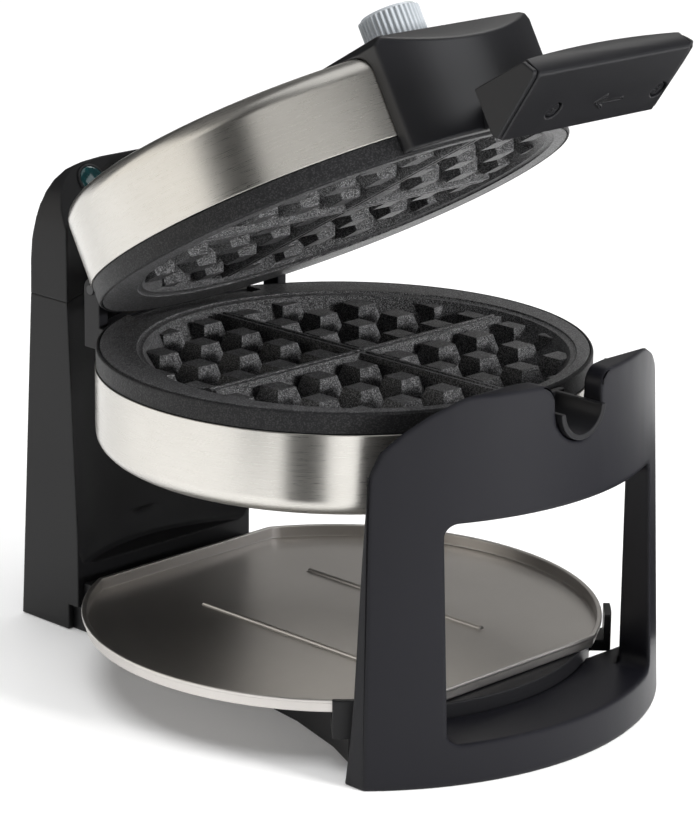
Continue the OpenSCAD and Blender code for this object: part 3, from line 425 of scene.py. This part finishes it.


# in every finish here, the edge colour is lighter than the body and is painted along the edges:
# part wear, part painted highlight
mouldedSettings = {
    "satinBlack": {
        "dark": (0.007, 0.007, 0.008), "light": (0.011, 0.011, 0.0125),
        "edge": (0.04, 0.04, 0.044), "roughness": (0.36, 0.44),
        "bump": 0.00004, "grainScale": 2600.0, "specular": 0.32,
    },
    "roundedBlack": {
        "dark": (0.006, 0.006, 0.0085), "light": (0.0085, 0.0085, 0.0115),
        "edge": (0.03, 0.03, 0.034), "roughness": (0.34, 0.42),
        "bump": 0.00004, "grainScale": 2600.0, "edgeRadius": 0.0028,
        "wearAndHighlight": 0.12, "specular": 0.22,
    },
    "towerBlack": {
        "dark": (0.007, 0.007, 0.0075), "light": (0.010, 0.010, 0.011),
        "edge": (0.03, 0.03, 0.033), "roughness": (0.38, 0.46),
        "bump": 0.00004, "grainScale": 2600.0, "edgeRadius": 0.0013, "wearAndHighlight": 0.2, "specular": 0.26,
    },
    "gripBlack": {
        "dark": (0.006, 0.006, 0.007), "light": (0.009, 0.009, 0.0105),
        "edge": (0.03, 0.03, 0.033), "roughness": (0.36, 0.44),
        "bump": 0.00004, "grainScale": 2600.0, "specular": 0.32,
    },
    "glossBlack": {
        "dark": (0.006, 0.006, 0.007), "light": (0.009, 0.009, 0.0105),
        "edge": (0.045, 0.045, 0.05), "roughness": (0.26, 0.33),
        "bump": 0.00002, "grainScale": 3000.0, "edgeRadius": 0.0018, "wearAndHighlight": 0.2,
    },
    "darkSteel": {
        "dark": (0.03, 0.03, 0.032), "light": (0.05, 0.05, 0.053),
        "edge": (0.12, 0.12, 0.125), "roughness": (0.35, 0.45),
        "bump": 0.00003, "grainScale": 2200.0,
    },
    "footRubber": {
        "dark": (0.014, 0.014, 0.014), "light": (0.022, 0.022, 0.022),
        "edge": (0.03, 0.03, 0.03), "roughness": (0.72, 0.85),
        "bump": 0.0001, "grainScale": 1400.0,
    },
    "offWhite": {
        "dark": (0.52, 0.5, 0.45), "light": (0.62, 0.6, 0.55),
        "edge": (0.7, 0.69, 0.65), "roughness": (0.45, 0.6),
        "bump": 0.00005, "grainScale": 1800.0,
    },
    "leadRed": {
        "dark": (0.30, 0.05, 0.035), "light": (0.38, 0.07, 0.05),
        "edge": (0.45, 0.1, 0.08), "roughness": (0.4, 0.5),
        "bump": 0.00003, "grainScale": 2000.0,
    },
    "dialGrey": {
        "dark": (0.40, 0.43, 0.46), "light": (0.50, 0.53, 0.56),
        "edge": (0.7, 0.73, 0.76), "roughness": (0.30, 0.38),
        "bump": 0.00003, "grainScale": 2400.0, "edgeRadius": 0.0004,
    },
}
casing = {
    "dark": (0.61, 0.59, 0.55), "light": (0.74, 0.72, 0.68),
    "edge": (0.86, 0.84, 0.8), "roughness": (0.26, 0.33),
    "density": 5200.0, "bump": 0.000004, "anisotropic": 0.7,
}
metalSettings = {
    "casingLower": casing,
    # a point on the open lid's own axis, and its tilt in degrees
    "casingUpper": {**casing, "centre": (0, 0.0059963, 0.1967756), "tilt": -30.0},
    "traySteel": {
        "dark": (0.56, 0.535, 0.51), "light": (0.65, 0.625, 0.6),
        "edge": (0.84, 0.83, 0.8), "roughness": (0.31, 0.39),
        "density": 6500.0, "round": 0.0, "bump": 0.000003,
    },
    "turnedMetal": {
        "dark": (0.55, 0.55, 0.56), "light": (0.72, 0.72, 0.73),
        "edge": (0.85, 0.85, 0.86), "roughness": (0.26, 0.38),
        "density": 1800.0, "bump": 0.00001,
    },
    "zincSteel": {
        "dark": (0.42, 0.42, 0.43), "light": (0.58, 0.58, 0.6),
        "edge": (0.75, 0.75, 0.77), "roughness": (0.28, 0.42),
        "density": 1500.0, "bump": 0.00001,
    },
    "bronze": {
        "dark": (0.45, 0.30, 0.14), "light": (0.60, 0.42, 0.2),
        "edge": (0.75, 0.58, 0.33), "roughness": (0.35, 0.5),
        "density": 1200.0, "bump": 0.00002,
    },
}
coatedSettings = {
    "nonStick": {
        "dark": (0.014, 0.014, 0.015), "fleck": (0.235, 0.235, 0.24),
        "edge": (0.07, 0.07, 0.073), "roughness": (0.40, 0.34),
        "bump": 0.00004, "scale": 3900.0, "edgeRadius": 0.0002, "specular": 0.3,
    },
    "grainedRim": {
        "dark": (0.010, 0.010, 0.011), "fleck": (0.034, 0.034, 0.035),
        "edge": (0.05, 0.05, 0.052), "roughness": (0.5, 0.42),
        "bump": 0.0001, "scale": 2300.0, "specular": 0.26,
    },
}
lensSettings = {
    "tealLens": {"dark": (0.0, 0.016, 0.019), "light": (0.002, 0.055, 0.06)},
    "redLens": {"dark": (0.10, 0.004, 0.004), "light": (0.2, 0.01, 0.008)},
}

finishes = {}
for makeFinish, settings in (
    (mouldedFinish, mouldedSettings),
    (metalFinish, metalSettings),
    (coatedFinish, coatedSettings),
    (lensFinish, lensSettings),
):
    finishes.update({name: makeFinish(name, own) for name, own in settings.items()})
print("finishes made:", len(finishes))

# node: (finish, edge radius in metres, segments); a radius of 0 keeps the edges as they are
pieceSettings = {
    "base_frame": ("satinBlack", 0.0005, 2), "base_cover": ("satinBlack", 0, 1),
    "front_support": ("roundedBlack", 0.0009, 3), "rubber_feet": ("footRubber", 0.0004, 2),
    "tower_housing": ("towerBlack", 0, 1), "tower_cap": ("towerBlack", 0, 1),
    "lamp_bezels": ("glossBlack", 0.0002, 2), "ready_lamp": ("tealLens", 0.0003, 2),
    "power_lamp": ("redLens", 0.0003, 2), "bearing_bush": ("bronze", 0, 1),
    "cord_inlet": ("glossBlack", 0.0003, 2), "terminal_block": ("offWhite", 0, 1),
    "lead_bundle": ("leadRed", 0, 1), "stop_ring": ("bronze", 0, 1),
    "trunnion": ("turnedMetal", 0, 1), "trunnion_washer": ("zincSteel", 0, 1),
    "trunnion_clip": ("zincSteel", 0, 1), "hinge_yoke": ("satinBlack", 0.0004, 2),
    "hinge_pin": ("darkSteel", 0.0003, 2), "lower_shell": ("casingLower", 0.0003, 2),
    "lower_rim": ("grainedRim", 0.0004, 2), "lower_plate": ("nonStick", 0.00025, 2),
    "lower_element": ("turnedMetal", 0, 1), "lower_reflector": ("turnedMetal", 0, 1),
    "thermal_fuse": ("offWhite", 0, 1), "front_boss": ("satinBlack", 0.0004, 2),
    "upper_shell": ("casingUpper", 0.0003, 2), "upper_rim": ("grainedRim", 0.0004, 2),
    "upper_plate": ("nonStick", 0.00025, 2), "upper_element": ("turnedMetal", 0, 1),
    "upper_reflector": ("turnedMetal", 0, 1), "thermostat": ("offWhite", 0, 1),
    "hinge_block": ("turnedMetal", 0, 1), "handle_housing": ("glossBlack", 0.0007, 3),
    "handle_neck": ("satinBlack", 0.0004, 2), "handle_grip": ("gripBlack", 0.0007, 3),
    "grip_end_caps": ("gripBlack", 0.0006, 3), "grip_core": ("zincSteel", 0, 1),
    "grip_screws": ("gripBlack", 0.0001, 2), "dial_knob": ("dialGrey", 0.00015, 2),
    "dial_spindle": ("zincSteel", 0, 1), "drip_tray": ("traySteel", 0.0005, 3),
}
# angles in degrees, lengths in metres; ownSharpTurn lets flatter corners of a piece look round
edgeSettings = {
    "sharpTurn": 32,
    "ownSharpTurn": {"handle_grip": 76, "grip_end_caps": 50},
    "flatTurn": 0.5,
    "mergeDistance": 0.00001,
}


def linkPiece(name, mesh, node, finish):
    mesh.materials.clear()
    mesh.materials.append(finishes[finish])
    obj = linked(name, mesh)
    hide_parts(node)
    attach(obj, bodyOf[node])


def bakedMesh(obj):
    # the mesh as the modifiers leave it; the object that made it goes
    depsgraph = bpy.context.evaluated_depsgraph_get()
    made = bpy.data.meshes.new_from_object(
        obj.evaluated_get(depsgraph), preserve_all_data_layers=True, depsgraph=depsgraph
    )
    bpy.data.objects.remove(obj)
    return made


def weldedMesh(node):
    # the node's triangles don't share corners until they are merged
    bm = bmesh.new()
    bm.from_mesh(nodes[node].data)
    bmesh.ops.remove_doubles(bm, verts=bm.verts, dist=edgeSettings["mergeDistance"])
    return bm


def copiedMesh(node, joinFlat):
    mesh = nodes[node].data.copy()
    bm = weldedMesh(node)
    if joinFlat:  # a bevel needs whole flat faces
        limit = math.radians(edgeSettings["flatTurn"])
        bmesh.ops.dissolve_limit(bm, angle_limit=limit, verts=bm.verts, edges=bm.edges)
    bm.to_mesh(mesh)
    bm.free()
    if mesh.has_custom_normals:
        mesh.attributes.remove(mesh.attributes["custom_normal"])
    return mesh


def shadeSmooth(mesh):
    for face in mesh.polygons:
        face.use_smooth = True


def finishPiece(node):
    finish, radius, segments = pieceSettings[node]
    turn = math.radians(edgeSettings["ownSharpTurn"].get(node, edgeSettings["sharpTurn"]))
    mesh = copiedMesh(node, radius > 0)
    shadeSmooth(mesh)
    if radius:
        maker = linked("maker", mesh)
        edges = maker.modifiers.new("edges", "BEVEL")
        edges.width, edges.segments = radius, segments
        edges.limit_method, edges.angle_limit = "ANGLE", turn
        edges.use_clamp_overlap = False
        flat = maker.modifiers.new("flat", "WEIGHTED_NORMAL")
        flat.keep_sharp = True
        mesh = bakedMesh(maker)
    else:
        mesh.set_sharp_from_angle(angle=turn)
    linkPiece(node + "_finished", mesh, node, finish)


for node in pieceSettings:
    finishPiece(node)
print("pieces finished:", len(pieceSettings))

screwFinishes = {
    "support_screws": "zincSteel",
    "tower_screws": "zincSteel",
    "yoke_screws": "zincSteel",
    "lower_plate_screws": "zincSteel",
    "upper_plate_screws": "zincSteel",
}
# shares of the head's radius, except slotDepth, which is a share of its height
screwSettings = {
    "sides": 32,
    "slotLength": 1.1,
    "slotWidth": 0.22,
    "slotDepth": 0.45,
    "headFrom": 0.9,
    "shankFrom": 0.2,
    "plainShank": 0.5,
}


def screwPoints(node):
    # one list of points for each loose part of the node's mesh
    bm = weldedMesh(node)
    bm.verts.ensure_lookup_table()
    seen, groups = set(), []
    for first in bm.verts:
        if first.index in seen:
            continue
        waiting, points = [first], []
        seen.add(first.index)
        while waiting:
            vert = waiting.pop()
            points.append(vert.co.copy())
            for edge in vert.link_edges:
                other = edge.other_vert(vert)
                if other.index not in seen:
                    seen.add(other.index)
                    waiting.append(other)
        groups.append(points)
    bm.free()
    return groups


def screwSizes(points):
    # the axis is the direction whose spread differs most from the other two
    places = np.array([tuple(point) for point in points])
    middle = places.mean(axis=0)
    values, vectors = np.linalg.eigh(np.cov((places - middle).T))
    odd = 2 if values[2] - values[1] > values[1] - values[0] else 0
    axis = vectors[:, odd]
    along = (places - middle) @ axis
    radii = np.linalg.norm(places - middle - np.outer(along, axis), axis=1)
    widest = radii.max()
    head = radii > screwSettings["headFrom"] * widest
    if along[head].mean() < (along.min() + along.max()) / 2:
        axis, along = -axis, -along
    shank = radii[~head & (radii > screwSettings["shankFrom"] * widest)]
    shankRadius = np.median(shank) if len(shank) else widest * screwSettings["plainShank"]
    return {
        "tip": middle + axis * along.min(),
        "axis": axis,
        "headRadius": float(widest),
        "headHeight": float(along[head].max() - along[head].min()),
        "shankRadius": float(shankRadius),
        "length": float(along.max() - along.min()),
    }


screwInputs = ("Head Radius", "Head Height", "Shank Radius", "Length", "Slot Width", "Slot Depth")


def makeScrewTree():
    tree = bpy.data.node_groups.new("screwsOnPoints", "GeometryNodeTree")
    newSocket, link = tree.interface.new_socket, tree.links.new
    newSocket(name="Geometry", in_out="INPUT", socket_type="NodeSocketGeometry")
    for label in screwInputs:
        newSocket(name=label, in_out="INPUT", socket_type="NodeSocketFloat")
    newSocket(name="Material", in_out="INPUT", socket_type="NodeSocketMaterial")
    newSocket(name="Geometry", in_out="OUTPUT", socket_type="NodeSocketGeometry")
    given, result = addNode(tree, "NodeGroupInput"), addNode(tree, "NodeGroupOutput")
    headRadius, headHeight = given.outputs["Head Radius"], given.outputs["Head Height"]
    length = given.outputs["Length"]

    def times(a, b):
        return calc(tree, "MULTIPLY", a, b)

    def lifted(mesh, height):
        at = addNode(tree, "ShaderNodeCombineXYZ")
        move = addNode(tree, "GeometryNodeTransform")
        link(height, at.inputs[2])
        link(mesh, move.inputs["Geometry"])
        link(at.outputs[0], move.inputs["Translation"])
        return move.outputs[0]

    def rod(radius, depth, height):
        cylinder = addNode(tree, "GeometryNodeMeshCylinder")
        cylinder.inputs["Vertices"].default_value = screwSettings["sides"]
        link(radius, cylinder.inputs["Radius"])
        link(depth, cylinder.inputs["Depth"])
        return lifted(cylinder.outputs["Mesh"], height)

    def slotBar(longAxis):
        size = addNode(tree, "ShaderNodeCombineXYZ")
        link(times(headRadius, screwSettings["slotLength"]), size.inputs[longAxis])
        link(times(headRadius, given.outputs["Slot Width"]), size.inputs[1 - longAxis])
        link(times(headHeight, times(given.outputs["Slot Depth"], 2.0)), size.inputs[2])
        bar = addNode(tree, "GeometryNodeMeshCube")
        link(size.outputs[0], bar.inputs["Size"])
        return lifted(bar.outputs["Mesh"], length)

    # the shank ends at the middle of the head
    headMiddle = calc(tree, "SUBTRACT", length, times(headHeight, 0.5))
    head = rod(headRadius, headHeight, headMiddle)
    shank = rod(given.outputs["Shank Radius"], headMiddle, times(headMiddle, 0.5))
    cut = addNode(tree, "GeometryNodeMeshBoolean", operation="DIFFERENCE")
    link(head, cut.inputs["Mesh 1"])
    for longAxis in (0, 1):  # two bars make the cross recess
        link(slotBar(longAxis), cut.inputs["Mesh 2"])
    join = addNode(tree, "GeometryNodeJoinGeometry")
    link(cut.outputs["Mesh"], join.inputs[0])
    link(shank, join.inputs[0])
    axis = addNode(tree, "GeometryNodeInputNamedAttribute", data_type="FLOAT_VECTOR")
    axis.inputs["Name"].default_value = "along"
    aim = addNode(tree, "FunctionNodeAlignRotationToVector", axis="Z")
    link(axis.outputs["Attribute"], aim.inputs["Vector"])
    spread = addNode(tree, "GeometryNodeInstanceOnPoints")
    link(given.outputs["Geometry"], spread.inputs["Points"])
    link(join.outputs[0], spread.inputs["Instance"])
    link(aim.outputs[0], spread.inputs["Rotation"])
    real = addNode(tree, "GeometryNodeRealizeInstances")
    link(spread.outputs[0], real.inputs[0])
    dress = addNode(tree, "GeometryNodeSetMaterial")
    link(real.outputs[0], dress.inputs["Geometry"])
    link(given.outputs["Material"], dress.inputs["Material"])
    link(dress.outputs[0], result.inputs[0])
    return tree


screwTree = makeScrewTree()


def makeScrews(node, finish):
    # the first screw's sizes serve all of a node's screws
    sizes = [screwSizes(points) for points in screwPoints(node)]
    first = sizes[0]
    mesh = bpy.data.meshes.new(node + "_places")
    mesh.from_pydata([tuple(s["tip"]) for s in sizes], [], [])
    along = mesh.attributes.new("along", "FLOAT_VECTOR", "POINT")
    for i, s in enumerate(sizes):
        along.data[i].vector = tuple(s["axis"])
    maker = linked("maker", mesh)
    screws = maker.modifiers.new("screws", "NODES")
    screws.node_group = screwTree
    values = {
        "Head Radius": first["headRadius"],
        "Head Height": first["headHeight"],
        "Shank Radius": first["shankRadius"],
        "Length": first["length"],
        "Slot Width": screwSettings["slotWidth"],
        "Slot Depth": screwSettings["slotDepth"],
        "Material": finishes[finish],
    }
    for item in screwTree.interface.items_tree:
        if item.in_out == "INPUT" and item.name in values:
            screws[item.identifier] = values[item.name]
    made = bakedMesh(maker)
    shadeSmooth(made)
    made.set_sharp_from_angle(angle=math.radians(edgeSettings["sharpTurn"]))
    linkPiece(node + "_made", made, node, finish)
    print(node, len(sizes), "head", round(first["headRadius"] * 1000, 2), "mm")


for node, finish in screwFinishes.items():
    makeScrews(node, finish)


def flatSheet(name, width, height, **constants):
    w, h = width / 2, height / 2
    mesh = bpy.data.meshes.new(name)
    mesh.from_pydata([(-w, -h, 0), (w, -h, 0), (w, h, 0), (-w, h, 0)], [], [(0, 1, 2, 3)])
    mesh.materials.append(startFinish(name, **constants)[0])
    sheet = linked(name, mesh)
    return sheet


# the backdrop is white, and the room round it is dim
stageSettings = {
    "floorSide": 18,
    "floorColour": (0.93, 0.93, 0.93, 1),
    "floorRoughness": 0.9,
    "floorGlow": 0.12,
    "backdrop": 1.0,
    "surround": 0.11,
}


def makeStage():
    s = stageSettings
    constants = {
        "Base Color": s["floorColour"],
        "Roughness": s["floorRoughness"],
        "Specular IOR Level": 0.0,
        "Emission Color": (1, 1, 1, 1),
        "Emission Strength": s["floorGlow"],
    }
    flatSheet("floor", s["floorSide"], s["floorSide"], **constants)
    world = bpy.data.worlds.new("studio")
    world.use_nodes = True
    tree = world.node_tree
    sky = tree.nodes["Background"]
    sky.inputs["Color"].default_value = (1, 1, 1, 1)
    path = addNode(tree, "ShaderNodeLightPath")
    strength = ramp(tree, path.outputs["Is Camera Ray"], 0, 1, s["surround"], s["backdrop"])
    tree.links.new(strength, sky.inputs["Strength"])
    bpy.context.scene.world = world


# name: (place, aim, width, height, power in watts, colour)
lightSettings = {
    "keySoftbox": ((0.35, -1.7, 0.62), (0, 0, 0.15), 0.5, 0.4, 40, (1.0, 0.995, 0.985)),
}
# a wide sky-like light from straight above lights the floor evenly; spread in degrees
skySettings = {"strength": 2.75, "spread": 62}
# bright and dark cards that only reflections see: (place, aim, width, height, brightness, colour)
cardSettings = {
    "leftRearCard": ((-0.95, 0.75, 0.42), (0, 0, 0.2), 1.5, 0.95, 1.1, (1.0, 0.97, 0.92)),
    "frontLeftCard": ((-0.92, -0.88, 0.80), (0, 0, 0.2), 1.35, 0.6, 0.85, (1.0, 0.985, 0.96)),
    "frontCard": ((0.45, -1.5, 0.6), (0, 0, 0.15), 1.3, 0.9, 1.1, (0.96, 0.97, 1.0)),
    "housingCard": ((0.81, -1.03, 1.1), (0, -0.07, 0.28), 0.8, 0.6, 1.7, (0.97, 0.98, 1.0)),
    "browCard": ((1.02, 0.45, 1.24), (0, -0.09, 0.29), 0.7, 0.45, 2.6, (1, 0.99, 0.97)),
    "rearRightCard": ((1.2, 1.18, 0.6), (0, 0, 0.1), 1.1, 0.42, 0.34, (1, 0.98, 0.95)),
    "overheadCard": ((0, 0.1, 2.0), (0, 0, 0.1), 1.6, 1.6, 0.85, (1, 1, 1)),
    "lidFlag": ((-0.416, -0.068, 0.30), (0, 0, 0.22), 0.105, 0.5, 0.0, (1, 1, 1)),
    "casingFlag": ((-0.205, -0.125, 0.09), (0, 0, 0.09), 0.062, 0.2, 0.0, (1, 1, 1)),
    "gripFlag": ((0.30, -0.17, 0.004), (0.30, -0.17, -1.0), 0.34, 0.5, 0.03, (1, 1, 1)),
    "rearFlag": ((0.25, 0.75, 0.25), (0, 0, 0.15), 0.30, 0.6, 0.02, (1, 1, 1)),
}


def aimAt(obj, place, aim):
    obj.rotation_mode = "QUATERNION"
    obj.location = place
    obj.rotation_quaternion = (Vector(place) - Vector(aim)).to_track_quat("Z", "Y")


def makeLights():
    for name, (place, aim, width, height, power, colour) in lightSettings.items():
        data = bpy.data.lights.new(name, "AREA")
        data.shape, data.size, data.size_y = "RECTANGLE", width, height
        data.energy, data.color = power, colour
        lamp = linked(name, data)
        lamp.visible_glossy = False
        aimAt(lamp, place, aim)
    data = bpy.data.lights.new("skyLight", "SUN")
    data.energy, data.angle = skySettings["strength"], math.radians(skySettings["spread"])
    linked("skyLight", data).visible_glossy = False


def makeCards():
    for name, (place, aim, width, height, brightness, colour) in cardSettings.items():
        constants = {
            "Base Color": (0, 0, 0, 1),
            "Roughness": 1.0,
            "Specular IOR Level": 0.0,
            "Emission Color": (*colour, 1),
            "Emission Strength": brightness,
        }
        card = flatSheet(name, width, height, **constants)
        card.visible_camera = card.visible_diffuse = False
        card.visible_shadow = card.visible_transmission = False
        aimAt(card, place, aim)


makeStage()
makeLights()
makeCards()
bpy.context.scene.view_settings.view_transform = "Standard"
print("stage and lights made")
